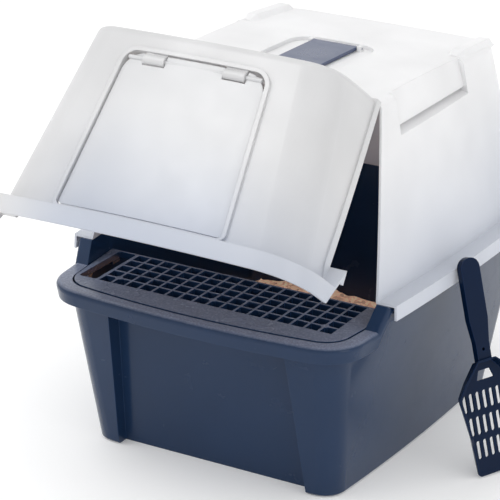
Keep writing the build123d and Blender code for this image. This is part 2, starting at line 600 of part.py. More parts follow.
with BuildPart() as litter_grate:
    extrude(pan_outline(GRATE_LOW, -WALL - GRATE_CLEAR), amount=GRATE_DEPTH)
    extrude(hood_outline(GRATE_TOP + GRATE_LIFT, -HOOD_WALL - 0.6, at=GRATE_LOW), amount=GRATE_DEPTH,
            mode=Mode.INTERSECT)
    extrude(side_face([(-400, 0), (-400, 500), (GRATE_REAR_Y + BAR / 2, 500), (GRATE_REAR_Y + BAR / 2, 0)]),
            amount=FAR, both=True, mode=Mode.INTERSECT)
    extrude(pan_outline(GRATE_LOW, -WALL - GRATE_CLEAR - SHELF - 2), amount=GRATE_DEPTH - LIP_THICK,
            mode=Mode.SUBTRACT)
    with BuildSketch(Plane.XY.offset(GRATE_LOW)):
        with Locations((FIRST_BAR_X + (COLUMNS - 1) * PITCH / 2 - SLOT_WIDTH / 2 - BAR / 2,
                        GRATE_REAR_Y - ROWS * PITCH / 2)):
            Rectangle((COLUMNS - 1) * PITCH + SLOT_WIDTH + 3 * BAR, ROWS * PITCH + BAR)
    extrude(amount=GRATE_DEPTH)
    with BuildSketch(Plane.XY.offset(GRATE_LOW - 5)):
        with Locations((FIRST_BAR_X + (COLUMNS - 1) * PITCH / 2, GRATE_REAR_Y - ROWS * PITCH / 2)):
            with GridLocations(PITCH, PITCH, COLUMNS - 1, ROWS):
                Rectangle(PITCH - BAR, PITCH - BAR)
        with Locations((FIRST_BAR_X - BAR - SLOT_WIDTH / 2, GRATE_REAR_Y - ROWS * PITCH / 2)):
            RectangleRounded(SLOT_WIDTH, ROWS * PITCH - BAR, 3)
    extrude(amount=GRATE_DEPTH + 10, mode=Mode.SUBTRACT)
    with Locations((0, GRATE_REAR_Y - (ROWS - 1) * PITCH, GRATE_LOW + GRATE_DEPTH / 2)):
        with Locations((FIRST_BAR_X + PITCH, 0), (FIRST_BAR_X + 8 * PITCH, 0), (LAST_BAR_X - PITCH, 0)):
            Cylinder(BOSS_D / 2, GRATE_DEPTH)
litter_grate.part.label = "litter_grate"


# ---- Litter bed ----
with BuildPart() as litter_bed:
    loft([pan_outline(FLOOR, -WALL - LITTER_GAP), pan_outline(RIM_FRONT, -WALL - LITTER_GAP)], ruled=True)
    add(pan_recess(WALL + LITTER_GAP), mode=Mode.SUBTRACT)
    with BuildSketch(Plane.YZ) as heap:
        with BuildLine():
            Spline((-300, LITTER_LOW - 12), (-190, LITTER_LOW), (-80, LITTER_LOW + 4),
                   (60, LITTER_HIGH - 5), (180, LITTER_HIGH), (300, LITTER_HIGH + 2))
            Polyline((300, LITTER_HIGH + 2), (300, FLOOR), (-300, FLOOR), (-300, LITTER_LOW - 12))
        make_face()
    extrude(heap.sketch.face(), amount=FAR, both=True, mode=Mode.INTERSECT)
litter_bed.part.label = "litter_bed"


# ---- Scoop, drawn flat with its tip on X, its length along Y and its open side up ----
def blade_face(height, inset):
    """The blade's outline; inset narrows it everywhere but at the tip's edge."""
    half = [BLADE_HALF[0] - inset * 0.3] + [width - inset for width in BLADE_HALF[1:]]
    root = NECK_U - 18 - inset * 0.5
    with BuildSketch(Plane.XY.offset(height)) as blade:
        with BuildLine():
            Polyline((-half[0], 0), (-half[1], BLADE_U[1]), (-half[2], BLADE_U[2]), (-half[3], BLADE_U[3]),
                     (-NECK_HALF - 3, root), (NECK_HALF + 3, root), (half[3], BLADE_U[3]),
                     (half[2], BLADE_U[2]), (half[1], BLADE_U[1]), (half[0], 0), close=True)
        make_face()
        fillet(blade.vertices().filter_by(lambda v: BLADE_U[1] + 1 < v.Y < BLADE_U[3] + 1), radius=6.0)
        fillet(blade.vertices().filter_by(lambda v: v.Y < 1), radius=5.0)
    return blade.sketch.face()


with BuildPart() as dish_hollow:
    loft([blade_face(SCOOP_WALL, DISH_TAPER + SCOOP_WALL), blade_face(SCOOP_SIDE + SCOOP_WALL, SCOOP_WALL)],
         ruled=True)
    with Locations((0, 0, SCOOP_WALL + 20)):
        Box(2 * BLADE_HALF[0] - 2 * SCOOP_WALL, 20, 40)

with BuildPart() as scoop_flat:
    loft([blade_face(0, DISH_TAPER), blade_face(SCOOP_SIDE, 0)], ruled=True)
    add(dish_hollow.part, mode=Mode.SUBTRACT)
    extrude(side_face([(0, 0), (0, SCOOP_WALL), (BLADE_U[1] - 10, SCOOP_SIDE * 0.45),
                       (BLADE_U[1], SCOOP_SIDE), (BLADE_U[3] + 4, SCOOP_SIDE),
                       (NECK_U, HANDLE_THICK), (NECK_U, 0)]),
            amount=FAR, both=True, mode=Mode.INTERSECT)
    with BuildSketch() as grip:
        with BuildLine():
            Polyline((-NECK_HALF, NECK_U - 22), (-NECK_HALF, NECK_U), (-HANDLE_HALF, NECK_U + 26),
                     (-HANDLE_HALF, SCOOP_LENGTH), (HANDLE_HALF, SCOOP_LENGTH), (HANDLE_HALF, NECK_U + 26),
                     (NECK_HALF, NECK_U), (NECK_HALF, NECK_U - 22), close=True)
        make_face()
        fillet(grip.vertices().filter_by(lambda v: v.Y > SCOOP_LENGTH - 1), radius=HANDLE_HALF - 0.5)
    extrude(amount=HANDLE_THICK)
    with BuildSketch():
        for u, count in ((30, 6), (57, 7), (84, 8)):
            with Locations((0, u)):
                with GridLocations(SLOT_PITCH, 1, count, 1):
                    SlotOverall(SLOT_LONG, SLOT_WIDE, rotation=90)
        with Locations((0, BLADE_U[3] + 3)):
            Trapezoid(24, 11, 70)
        with Locations((0, NECK_U - 8)):
            Circle(HANG_HOLE_R)
    extrude(amount=SCOOP_SIDE, mode=Mode.SUBTRACT)

facing = math.radians(SCOOP_FACING)
outward = Vector(math.sin(facing), -math.cos(facing), 0)
across = Vector(math.cos(facing), math.sin(facing), 0)
lean = math.radians(SCOOP_LEAN)
along = Vector(0, 0, 1) * math.cos(lean) - outward * math.sin(lean)
tilt = math.radians(SCOOP_TILT)
width_dir = across * math.cos(tilt) + along * math.sin(tilt)
SCOOP_PLANE = Plane(origin=(SCOOP_TIP[0], SCOOP_TIP[1], BLADE_HALF[0] * math.sin(tilt) + FLOOR_PLAY),
                    x_dir=width_dir, z_dir=width_dir.cross(along))
scoop = SCOOP_PLANE.location * scoop_flat.part
scoop.label = "scoop"


# ---- The front hood stands open; its door stays flush with it ----
open_hood = front_hood.part.rotate(HINGE_AXIS, -HOOD_OPEN)
open_hood.label = "front_hood"
open_door = entry_door.part.rotate(HINGE_AXIS, -HOOD_OPEN)
open_door.label = "entry_door"

os.makedirs("parts", exist_ok=True)
export_step(base_pan.part, "parts/base_pan.step")
export_step(litter_grate.part, "parts/litter_grate.step")
export_step(litter_bed.part, "parts/litter_bed.step")
export_step(rear_hood.part, "parts/rear_hood.step")
export_step(open_hood, "parts/front_hood.step")
export_step(hood_hinge_pins.part, "parts/hood_hinge_pins.step")
export_step(open_door, "parts/entry_door.step")
export_step(top_latch.part, "parts/top_latch.step")
export_step(latch_pin.part, "parts/latch_pin.step")
export_step(scoop, "parts/scoop.step")
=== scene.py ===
import math
import random

import bmesh
import bpy
from bpy.props import FloatProperty, FloatVectorProperty, IntProperty, PointerProperty
from mathutils import Matrix, Vector, noise
from mathutils.bvhtree import BVHTree


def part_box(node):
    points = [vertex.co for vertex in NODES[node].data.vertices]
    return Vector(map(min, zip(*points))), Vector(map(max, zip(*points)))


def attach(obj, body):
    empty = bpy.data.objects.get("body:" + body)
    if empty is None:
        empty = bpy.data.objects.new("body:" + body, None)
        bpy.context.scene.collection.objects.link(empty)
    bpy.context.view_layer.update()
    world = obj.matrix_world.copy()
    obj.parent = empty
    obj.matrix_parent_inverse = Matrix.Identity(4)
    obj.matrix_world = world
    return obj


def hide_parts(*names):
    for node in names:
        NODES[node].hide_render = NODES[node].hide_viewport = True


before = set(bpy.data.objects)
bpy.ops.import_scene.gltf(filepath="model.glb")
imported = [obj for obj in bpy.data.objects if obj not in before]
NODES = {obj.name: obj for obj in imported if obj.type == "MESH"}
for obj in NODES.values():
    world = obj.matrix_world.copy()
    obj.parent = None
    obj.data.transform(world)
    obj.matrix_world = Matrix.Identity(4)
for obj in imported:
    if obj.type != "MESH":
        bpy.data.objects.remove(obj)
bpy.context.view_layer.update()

bl_info = {
    "name": "Hooded Litter Box",
    "version": (1, 0, 0),
    "blender": (4, 5, 0),
    "location": "3D View > Sidebar > Litter Box",
    "description": "Finishes, litter and a studio for a hooded cat litter box",
    "category": "Object",
}

# ---- Milky plastic: how clear it is, and where the painted shade of the dark inside starts ----
CLEAR = 0.22
FRONT_PAINTED_SHADE = 0.76                 # painted shade: the front hood and the door are this much darker than the rear hood
HINGE = (0.0, -0.088, 0.43)       # the front hood's hinge, in metres
FRONT_TURN = math.radians(38)     # how far the front hood stands open
DOWN_THE_FRONT = (0.0, -math.sin(FRONT_TURN), -math.cos(FRONT_TURN))
FRONT_SHADE_START = tuple(h + 0.1 * d for h, d in zip(HINGE, DOWN_THE_FRONT))
REAR_SHADE_START = (0.0, 0.0, 0.4)
STRAIGHT_DOWN = (0.0, 0.0, -1.0)
SHADE_REACH = 0.19                # the shade is full this far past its start
FRONT_LEFT_FADE = -0.17           # the front's shade fades out towards this X
NO_FADE = -1.0                    # an X far outside the box, so nothing fades
# painted highlight: near-white laid on the hood's moulded edges
MILKY_EDGE_HIGHLIGHT = (0.99, 0.99, 1.0)
# pale grey-blue laid on faces that point up: dusty specks and a painted sheen standing in for the
# reflection of the white hood above
DUST_AND_SHEEN_COLOUR = (0.42, 0.46, 0.60)

# ---- Litter ----
VOXEL = 0.004                     # cell size of the heap's mesh
LUMP_SCALE, LUMP_HEIGHT = 28.0, 0.006
GRIT_SCALE, GRIT_HEIGHT = 300.0, 0.0012
UPWARD = 0.5                      # faces whose normal points up by more than this are the heap's top
CORNERS_OF_A_GRANULE = 12
LITTER_GLOW = 0.3                 # light of its own, which lifts the litter out of the hood's shade

# ---- Studio ----
FLOOR_HALF = 6.0
FLOOR_DROP = 0.0004               # keeps the floor clear of the pan's underside
FLOOR_GLOW = 0.14
LIGHT_TARGET = (0.0, 0.0, 0.2)
LIGHTS = (                        # name, place, size, share of the key light's power
    ("key", (-0.9, -1.3, 2.3), 0.9, 1.0),
    ("side", (2.2, -0.6, 1.0), 1.0, 0.3),
)
CAMERA_AZIMUTH = math.radians(29.53)
CAMERA_ELEVATION = math.radians(21.51)
CAMERA_ROLL = math.radians(0.79)
CAMERA_PLACE = (1.3091, -2.4155, 1.2793)
CAMERA_LENS = 186.95
CAMERA_SENSOR = 36.0


# ---- What a user can change ----
class LitterBoxColours(bpy.types.PropertyGroup):
    """Colours of the moulded pieces and the litter."""

    navy: FloatVectorProperty(
        name="Pan navy", description="Colour of the pan's plastic", subtype="COLOR",
        default=(0.010, 0.028, 0.072), min=0, max=1)
    deep_navy: FloatVectorProperty(
        name="Scoop navy", description="Colour of the scoop's plastic", subtype="COLOR",
        default=(0.002, 0.010, 0.034), min=0, max=1)
    latch_navy: FloatVectorProperty(
        name="Latch navy", description="Colour of the latch plate", subtype="COLOR",
        default=(0.03, 0.05, 0.12), min=0, max=1)
    white: FloatVectorProperty(
        name="Hood white", description="Colour of the hood's plastic", subtype="COLOR",
        default=(0.95, 0.95, 0.96), min=0, max=1)
    door_white: FloatVectorProperty(
        name="Door white", description="Colour of the entry door", subtype="COLOR",
        default=(0.94, 0.945, 0.96), min=0, max=1)
    litter: FloatVectorProperty(
        name="Litter", description="Main colour of the litter", subtype="COLOR",
        default=(0.90, 0.55, 0.39), min=0, max=1)
    # painted shade: the milky plastic is mixed towards this colour where the dark inside would show
    # through
    behind: FloatVectorProperty(
        name="Shade behind",
        description="Colour of the milky plastic where the dark inside shows through",
        subtype="COLOR", default=(0.48, 0.53, 0.64), min=0, max=1)


class LitterBoxFinish(bpy.types.PropertyGroup):
    """Sizes of the surface detail."""

    edge_radius: FloatProperty(
        name="Edge radius", description="How far the moulded edges are softened", subtype="DISTANCE",
        unit="LENGTH", default=0.0012, min=0.0, max=0.004)
    grain: FloatProperty(
        name="Grain", description="How many grains of texture there are in a metre", default=1400.0,
        min=100.0, max=5000.0)
    granules: IntProperty(
        name="Granules", description="How many loose granules lie on the litter", default=1600,
        min=0, max=4000)
    granule_size: FloatProperty(
        name="Granule size", description="Radius of a typical granule", subtype="DISTANCE",
        unit="LENGTH", default=0.0032, min=0.001, max=0.006)


class LitterBoxStudio(bpy.types.PropertyGroup):
    """The floor and the lights."""

    floor: FloatVectorProperty(
        name="Floor", description="Colour of the floor", subtype="COLOR", default=(0.93, 0.93, 0.93),
        min=0, max=1)
    world: FloatProperty(
        name="Surrounding light", description="Strength of the even light from all around", default=1.0,
        min=0.0, max=3.0)
    key: FloatProperty(
        name="Key light", description="Power of the large light above", subtype="POWER", unit="POWER",
        default=14.0, min=0.0, max=500.0)


# ---- Node tools ----
def new_group(name, inputs, outputs):
    """A shader group: each input is (kind, name, default) and each output is (kind, name)."""
    tree = bpy.data.node_groups.new(name, "ShaderNodeTree")
    for kind, label, default in inputs:
        socket = tree.interface.new_socket(label, in_out="INPUT", socket_type="NodeSocket" + kind)
        if default is not None:
            socket.default_value = default
    for kind, label in outputs:
        tree.interface.new_socket(label, in_out="OUTPUT", socket_type="NodeSocket" + kind)
    return tree, tree.nodes.new("NodeGroupInput"), tree.nodes.new("NodeGroupOutput")


def node(tree, kind, values=(), links=(), **settings):
    """Adds a node; values set its sockets, links join (output, input name) pairs into it."""
    made = tree.nodes.new("ShaderNode" + kind)
    for label, value in settings.items():
        setattr(made, label, value)
    for label, value in dict(values).items():
        made.inputs[label].default_value = value
    for source, label in links:
        tree.links.new(source, made.inputs[label])
    return made


def moulding_grain():
    """Fine moulded grain and the slow unevenness of a large moulding."""
    if "moulding_grain" in bpy.data.node_groups:
        return bpy.data.node_groups["moulding_grain"]
    tree, given, out = new_group(
        "moulding_grain",
        [("Vector", "Place", None), ("Float", "Grain", 1400.0), ("Float", "Drift", 9.0)],
        [("Float", "Height"), ("Float", "Tone"), ("Float", "Gloss")])
    fine = node(tree, "TexNoise", {"Detail": 3.0, "Roughness": 0.6},
                [(given.outputs["Place"], "Vector"), (given.outputs["Grain"], "Scale")])
    slow = node(tree, "TexNoise", {"Detail": 2.0, "Roughness": 0.5},
                [(given.outputs["Place"], "Vector"), (given.outputs["Drift"], "Scale")])
    wave = node(tree, "Math", {1: 2.5}, [(slow.outputs["Fac"], 0)], operation="MULTIPLY")
    height = node(tree, "Math", (), [(wave.outputs[0], 0), (fine.outputs["Fac"], 1)], operation="ADD")
    smear = node(tree, "TexNoise", {"Scale": 34.0, "Detail": 4.0, "Roughness": 0.55, "Distortion": 0.6},
                 [(given.outputs["Place"], "Vector")])
    tree.links.new(height.outputs[0], out.inputs["Height"])
    tree.links.new(slow.outputs["Fac"], out.inputs["Tone"])
    tree.links.new(smear.outputs["Fac"], out.inputs["Gloss"])
    return tree


def soft_edges():
    """Rounds sharp moulded edges in the shading and finds them as a mask."""
    if "soft_edges" in bpy.data.node_groups:
        return bpy.data.node_groups["soft_edges"]
    tree, given, out = new_group(
        "soft_edges", [("Float", "Radius", 0.0012)], [("Vector", "Normal"), ("Float", "Edge")])
    bevel = node(tree, "Bevel", (), [(given.outputs["Radius"], "Radius")], samples=6)
    facing = node(tree, "NewGeometry")
    match = node(tree, "VectorMath", (), [(bevel.outputs["Normal"], 0), (facing.outputs["Normal"], 1)],
                 operation="DOT_PRODUCT")
    edge = node(tree, "MapRange", {"From Min": 0.995, "From Max": 0.85, "To Min": 0.0, "To Max": 1.0},
                [(match.outputs["Value"], "Value")])
    tree.links.new(bevel.outputs["Normal"], out.inputs["Normal"])
    tree.links.new(edge.outputs["Result"], out.inputs["Edge"])
    return tree


def dust_and_painted_sheen():
    """Dusty specks and a painted sheen on whatever faces up: a pale bloom that stands in for the
    reflection of the white hood above.
    """
    if "dust_and_painted_sheen" in bpy.data.node_groups:
        return bpy.data.node_groups["dust_and_painted_sheen"]
    tree, given, out = new_group(
        "dust_and_painted_sheen", [("Vector", "Place", None), ("Float", "Amount", 0.1)], [("Float", "Dust_And_Sheen")])
    facing = node(tree, "NewGeometry")
    up = node(tree, "SeparateXYZ", (), [(facing.outputs["Normal"], "Vector")])
    level = node(tree, "MapRange", {"From Min": 0.6, "From Max": 1.0},
                 [(up.outputs["Z"], "Value")])
    specks = node(tree, "TexNoise", {"Scale": 420.0, "Detail": 5.0, "Roughness": 0.7},
                  [(given.outputs["Place"], "Vector")])
    sparse = node(tree, "MapRange", {"From Min": 0.45, "From Max": 0.8, "To Min": 0.5, "To Max": 1.0},
                  [(specks.outputs["Fac"], "Value")])
    both = node(tree, "Math", (), [(level.outputs["Result"], 0), (sparse.outputs["Result"], 1)],
                operation="MULTIPLY")
    amount = node(tree, "Math", (), [(both.outputs[0], 0), (given.outputs["Amount"], 1)],
                  operation="MULTIPLY")
    tree.links.new(amount.outputs[0], out.inputs["Dust_And_Sheen"])
    return tree


def painted_shade_behind():
    """Painted shade where the dark inside would show through: it grows along a direction and fades at
    one side.
    """
    if "painted_shade_behind" in bpy.data.node_groups:
        return bpy.data.node_groups["painted_shade_behind"]
    tree, given, out = new_group(
        "painted_shade_behind", [("Vector", "Place", None), ("Vector", "Start", (0.0, 0.0, 0.4)),
                        ("Vector", "Way", (0.0, 0.0, -1.0)), ("Float", "Reach", 0.2),
                        ("Float", "Left Fade", -1.0)],
        [("Float", "Shade")])
    away = node(tree, "VectorMath", (), [(given.outputs["Place"], 0), (given.outputs["Start"], 1)],
                operation="SUBTRACT")
    along = node(tree, "VectorMath", (), [(away.outputs["Vector"], 0), (given.outputs["Way"], 1)],
                 operation="DOT_PRODUCT")
    share = node(tree, "Math", (), [(along.outputs["Value"], 0), (given.outputs["Reach"], 1)],
                 operation="DIVIDE")
    drift = node(tree, "TexNoise", {"Scale": 5.0, "Detail": 1.0}, [(given.outputs["Place"], "Vector")])
    uneven = node(tree, "MapRange", {"To Min": -0.2, "To Max": 0.2}, [(drift.outputs["Fac"], "Value")])
    shifted = node(tree, "Math", (), [(share.outputs[0], 0), (uneven.outputs["Result"], 1)],
                   operation="ADD")
    grown = node(tree, "MapRange", (), [(shifted.outputs[0], "Value")], interpolation_type="SMOOTHSTEP")
    split = node(tree, "SeparateXYZ", (), [(given.outputs["Place"], "Vector")])
    past = node(tree, "Math", (), [(split.outputs["X"], 0), (given.outputs["Left Fade"], 1)],
                operation="SUBTRACT")
    side = node(tree, "MapRange", {"From Min": 0.0, "From Max": 0.11}, [(past.outputs[0], "Value")],
                interpolation_type="SMOOTHSTEP")
    both = node(tree, "Math", (), [(grown.outputs["Result"], 0), (side.outputs["Result"], 1)],
                operation="MULTIPLY")
    tree.links.new(both.outputs[0], out.inputs["Shade"])
    return tree


def group_node(tree, group, values=(), links=()):
    """Adds a node that runs the group, with values and links as for node."""
    made = tree.nodes.new("ShaderNodeGroup")
    made.node_tree = group
    for label, value in dict(values).items():
        made.inputs[label].default_value = value
    for source, label in links:
        tree.links.new(source, made.inputs[label])
    return made


def moulded_plastic(name, colour, edge_colour, roughness, coat=0.0, grain_depth=0.00002, dust_and_sheen=0.0,
                    specular=0.5):
    """Injection-moulded plastic: fine grain, slow unevenness, edges painted lighter for wear and as a
    painted highlight, and dusty specks with a painted sheen on faces that point up.
    """
    finish = bpy.context.scene.litter_box_finish
    made = bpy.data.materials.new(name)
    made.use_nodes = True
    tree = made.node_tree
    tree.nodes.clear()
    out = tree.nodes.new("ShaderNodeOutputMaterial")
    shader = node(tree, "BsdfPrincipled", {"IOR": 1.45, "Coat Weight": coat, "Coat Roughness": 0.12,
                                           "Specular IOR Level": specular})
    tree.links.new(shader.outputs["BSDF"], out.inputs["Surface"])
    place = node(tree, "TexCoord")
    grain = group_node(tree, moulding_grain(), {"Grain": finish.grain, "Drift": 9.0},
                       [(place.outputs["Object"], "Place")])
    edges = group_node(tree, soft_edges(), {"Radius": finish.edge_radius})
    # dusty specks plus a painted sheen on faces that point up
    dust_and_sheen_mask = group_node(tree, dust_and_painted_sheen(), {"Amount": dust_and_sheen}, [(place.outputs["Object"], "Place")])
    tone = node(tree, "MapRange", {"From Min": 0.3, "From Max": 0.7, "To Min": 0.93, "To Max": 1.05},
                [(grain.outputs["Tone"], "Value")])
    shade = node(tree, "Mix", {6: (*colour, 1.0)}, [(tone.outputs["Result"], 7)],
                 data_type="RGBA", blend_type="MULTIPLY")
    shade.inputs[0].default_value = 1.0
    # edges painted lighter: partly wear, partly a painted highlight
    worn_and_highlit = node(tree, "Math", {1: 0.45}, [(edges.outputs["Edge"], 0)], operation="MULTIPLY")
    edged = node(tree, "Mix", {7: (*edge_colour, 1.0)},
                 [(worn_and_highlit.outputs[0], 0), (shade.outputs[2], 6)], data_type="RGBA")
    # mixes in the dusty specks and the painted sheen
    dusted_and_sheened = node(tree, "Mix", {7: (*DUST_AND_SHEEN_COLOUR, 1.0)},
                  [(dust_and_sheen_mask.outputs["Dust_And_Sheen"], 0), (edged.outputs[2], 6)], data_type="RGBA")
    tree.links.new(dusted_and_sheened.outputs[2], shader.inputs["Base Color"])
    gloss = node(tree, "MapRange", {"From Min": 0.3, "From Max": 0.7, "To Min": roughness - 0.05,
                                    "To Max": roughness + 0.06}, [(grain.outputs["Gloss"], "Value")])
    tree.links.new(gloss.outputs["Result"], shader.inputs["Roughness"])
    bump = node(tree, "Bump", {"Strength": 1.0, "Distance": grain_depth},
                [(grain.outputs["Height"], "Height"), (edges.outputs["Normal"], "Normal")])
    tree.links.new(bump.outputs["Normal"], shader.inputs["Normal"])
    return made


def milky_plastic(name, colour, roughness, start, way, left_fade, strength):
    """The hood's milky plastic: it blurs what is behind it, and a painted shade of the dark inside is
    mixed into its colour.
    """
    made = moulded_plastic(name, colour, MILKY_EDGE_HIGHLIGHT, roughness, coat=0.12)
    tree = made.node_tree
    shader = tree.nodes["Principled BSDF"]
    shader.inputs["Transmission Weight"].default_value = CLEAR
    base = shader.inputs["Base Color"].links[0].from_socket
    place = node(tree, "TexCoord")
    # painted shade of the dark inside, mixed into the base colour below
    shade = group_node(tree, painted_shade_behind(),
                       {"Start": start, "Way": way, "Reach": SHADE_REACH, "Left Fade": left_fade},
                       [(place.outputs["Object"], "Place")])
    amount = node(tree, "Math", {1: strength}, [(shade.outputs["Shade"], 0)], operation="MULTIPLY")
    behind = bpy.context.scene.litter_box_colours.behind
    mixed = node(tree, "Mix", {7: (*behind, 1.0)}, [(amount.outputs[0], 0), (base, 6)],
                 data_type="RGBA")
    tree.links.new(mixed.outputs[2], shader.inputs["Base Color"])
    return made


def litter_clay(name, colour):
    """Dry clay granules: every granule has its own tone, and the faces are rough."""
    made = bpy.data.materials.new(name)
    made.use_nodes = True
    tree = made.node_tree
    tree.nodes.clear()
    out = tree.nodes.new("ShaderNodeOutputMaterial")
    shader = node(tree, "BsdfPrincipled",
                  {"Roughness": 0.9, "IOR": 1.45, "Emission Strength": LITTER_GLOW})
    tree.links.new(shader.outputs["BSDF"], out.inputs["Surface"])
    place = node(tree, "TexCoord")
    cells = node(tree, "TexVoronoi", {"Scale": 260.0}, [(place.outputs["Object"], "Vector")])
    tones = node(tree, "ValToRGB", (), [(cells.outputs["Color"], "Fac")])
    ramp = tones.color_ramp
    ramp.elements[0].color = (*[c * 0.4 for c in colour], 1.0)
    ramp.elements[1].color = (*[min(1.0, c * 1.35) for c in colour], 1.0)
    middle = ramp.elements.new(0.5)
    middle.color = (*colour, 1.0)
    rough = node(tree, "TexNoise", {"Scale": 900.0, "Detail": 4.0},
                 [(place.outputs["Object"], "Vector")])
    mixed = node(tree, "Mix", {0: 0.35}, [(tones.outputs["Color"], 6), (rough.outputs["Color"], 7)],
                 data_type="RGBA", blend_type="SOFT_LIGHT")
    tree.links.new(mixed.outputs[2], shader.inputs["Base Color"])
    tree.links.new(mixed.outputs[2], shader.inputs["Emission Color"])
    far = node(tree, "Math", {1: -1.0}, [(cells.outputs["Distance"], 0)], operation="MULTIPLY")
    height = node(tree, "Math", (), [(far.outputs[0], 0), (rough.outputs["Fac"], 1)], operation="ADD")
    bump = node(tree, "Bump", {"Strength": 0.9, "Distance": 0.0012}, [(height.outputs[0], "Height")])
    tree.links.new(bump.outputs["Normal"], shader.inputs["Normal"])
    return made


def dress(names, material):
    """Puts one material on the named CAD nodes."""
    for name in names:
        mesh = NODES[name].data
        mesh.materials.clear()
        mesh.materials.append(material)


def lighter(colour, times):
    """The same hue, times brighter: the tone of an edge, lighter partly for wear and partly as a
    painted highlight.
    """
    return tuple(times * c for c in colour)


def new_piece(name, bm, material, body):
    """Makes an object from bm that rides on the body."""
    mesh = bpy.data.meshes.new(name)
    bm.to_mesh(mesh)
    bm.free()
    mesh.materials.append(material)
    piece = bpy.data.objects.new(name, mesh)
    bpy.context.scene.collection.objects.link(piece)
    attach(piece, body)
    return piece


# ---- The pieces ----
class LITTERBOX_OT_pan(bpy.types.Operator):
    """Give the pan its satin navy plastic"""

    bl_idname = "litterbox.pan"
    bl_label = "Pan"

    def execute(self, context):
        colours = context.scene.litter_box_colours
        navy = tuple(colours.navy)
        # pan edges painted lighter for wear and as a painted highlight; faces that point up get dusty
        # specks and a painted sheen
        dress(["base_pan"], moulded_plastic("pan_navy", navy, lighter(navy, 2.6), 0.22, coat=0.2,
                                            grain_depth=0.000008, dust_and_sheen=0.72, specular=0.22))
        return {"FINISHED"}


class LITTERBOX_OT_grate(bpy.types.Operator):
    """Give the drop-in grate its plastic"""

    bl_idname = "litterbox.grate"
    bl_label = "Grate"

    def execute(self, context):
        colours = context.scene.litter_box_colours
        navy = tuple(colours.navy)
        # grate edges painted lighter for wear and as a painted highlight; faces that point up get dusty
        # specks and a painted sheen
        dress(["litter_grate"], moulded_plastic("grate_navy", navy, lighter(navy, 3.2), 0.24, coat=0.1,
                                                grain_depth=0.000008, dust_and_sheen=0.55, specular=0.4))
        return {"FINISHED"}


class LITTERBOX_OT_hoods(bpy.types.Operator):
    """Give both halves of the hood their milky plastic"""

    bl_idname = "litterbox.hoods"
    bl_label = "Hoods"

    def execute(self, context):
        white = tuple(context.scene.litter_box_colours.white)
        # painted shade: the front hood is a darkened copy of the rear hood's white
        front_white = tuple(FRONT_PAINTED_SHADE * c for c in white)
        # both hood halves get a painted shade of the dark inside; the rear one darkens towards the
        # bottom
        dress(["rear_hood"], milky_plastic("rear_hood_milky", white, 0.4, REAR_SHADE_START,
                                           STRAIGHT_DOWN, NO_FADE, strength=0.66))
        dress(["front_hood"], milky_plastic("front_hood_milky", front_white, 0.36, FRONT_SHADE_START,
                                            DOWN_THE_FRONT, FRONT_LEFT_FADE, strength=0.85))
        dress(["hood_hinge_pins"], moulded_plastic("pin_white", white, MILKY_EDGE_HIGHLIGHT, 0.4, coat=0.1))
        return {"FINISHED"}


class LITTERBOX_OT_door(bpy.types.Operator):
    """Give the entry door its milky plastic"""

    bl_idname = "litterbox.door"
    bl_label = "Entry door"

    def execute(self, context):
        # painted shade: the door white is darkened like the front hood's
        white = tuple(FRONT_PAINTED_SHADE * c for c in context.scene.litter_box_colours.door_white)
        # the door also gets the painted shade of the dark inside
        dress(["entry_door"], milky_plastic("door_milky", white, 0.34, FRONT_SHADE_START,
                                            DOWN_THE_FRONT, FRONT_LEFT_FADE, strength=1.0))
        return {"FINISHED"}


class LITTERBOX_OT_latch(bpy.types.Operator):
    """Give the roof latch its plastic"""

    bl_idname = "litterbox.latch"
    bl_label = "Roof latch"

    def execute(self, context):
        navy = tuple(context.scene.litter_box_colours.latch_navy)
        dress(["top_latch", "latch_pin"],
              moulded_plastic("latch_navy", navy, lighter(navy, 2.2), 0.3, coat=0.2,
                              grain_depth=0.00002, dust_and_sheen=0.08))
        return {"FINISHED"}


class LITTERBOX_OT_scoop(bpy.types.Operator):
    """Give the scoop its glossy plastic"""

    bl_idname = "litterbox.scoop"
    bl_label = "Scoop"

    def execute(self, context):
        navy = tuple(context.scene.litter_box_colours.deep_navy)
        dress(["scoop"], moulded_plastic("scoop_navy", navy, lighter(navy, 4.0), 0.18, coat=0.0,
                                         grain_depth=0.000006, dust_and_sheen=0.0, specular=0.15))
        return {"FINISHED"}


